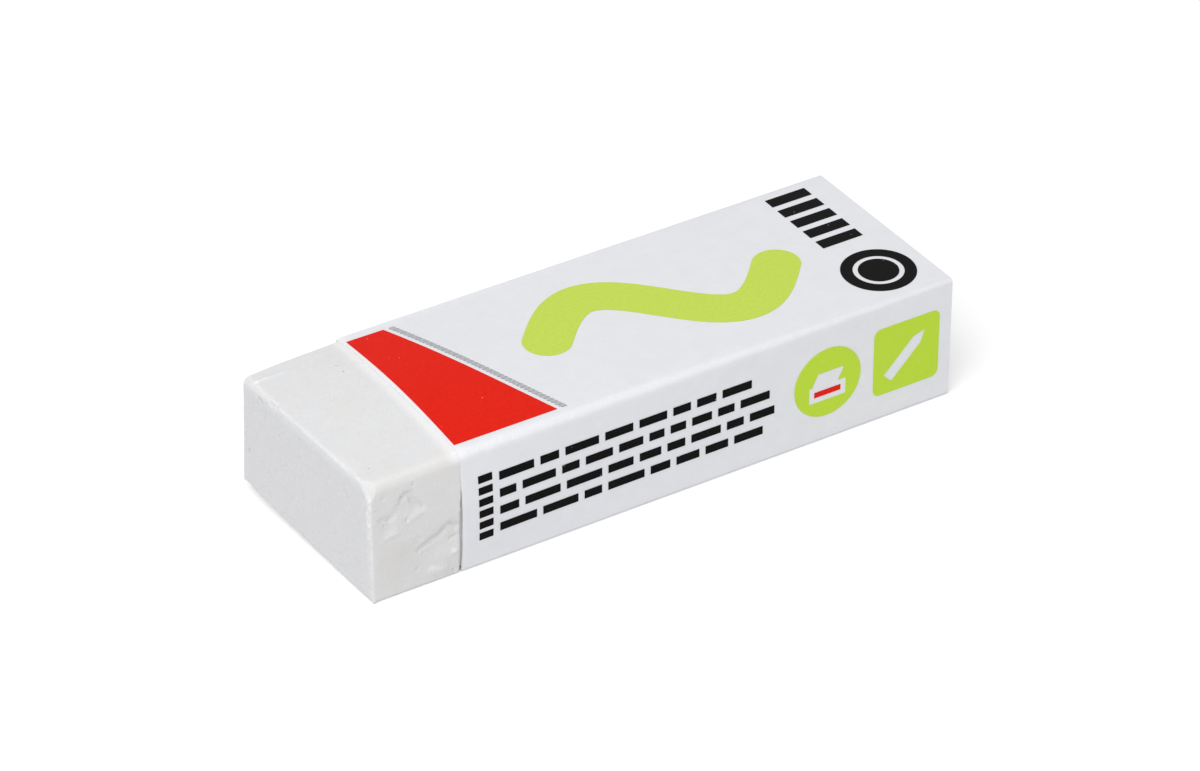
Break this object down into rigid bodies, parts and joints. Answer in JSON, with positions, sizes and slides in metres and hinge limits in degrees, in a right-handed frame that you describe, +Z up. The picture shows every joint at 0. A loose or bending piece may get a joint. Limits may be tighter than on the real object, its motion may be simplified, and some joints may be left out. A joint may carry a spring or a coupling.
{
  "type": "rubber eraser",
  "caption": "White vinyl block eraser with a worn, dented nose, sliding in an open-ended printed card sleeve.",
  "frame": {"origin": "middle of the bounding box's bottom, on the sleeve's underside", "axes": "+X along the length from the worn nose to the sleeve's back end, +Z up through the printed top panel, -Y out of the printed narrow side"},
  "size_m": [0.0654, 0.0232, 0.014],
  "materials": {
    "vinyl": "matte white moulded vinyl, rubbed and dented at the nose",
    "card": "satin coated white card",
    "red_ink": "satin printed red",
    "lime_ink": "satin printed lime green",
    "black_ink": "satin printed black",
    "grey_ink": "fine printed grey rule"
  },
  "bodies": {
    "sleeve": {"card_sleeve": "card", "red_print": "red_ink", "lime_print": "lime_ink", "black_print": "black_ink", "grey_print": "grey_ink"},
    "block": {"eraser_block": "vinyl"}
  },
  "joints": [
    {"name": "block_slide", "type": "slide", "parent": "sleeve", "child": "block", "axis": [1, 0, 0], "range_m": [-0.056, 0]}
  ]
}
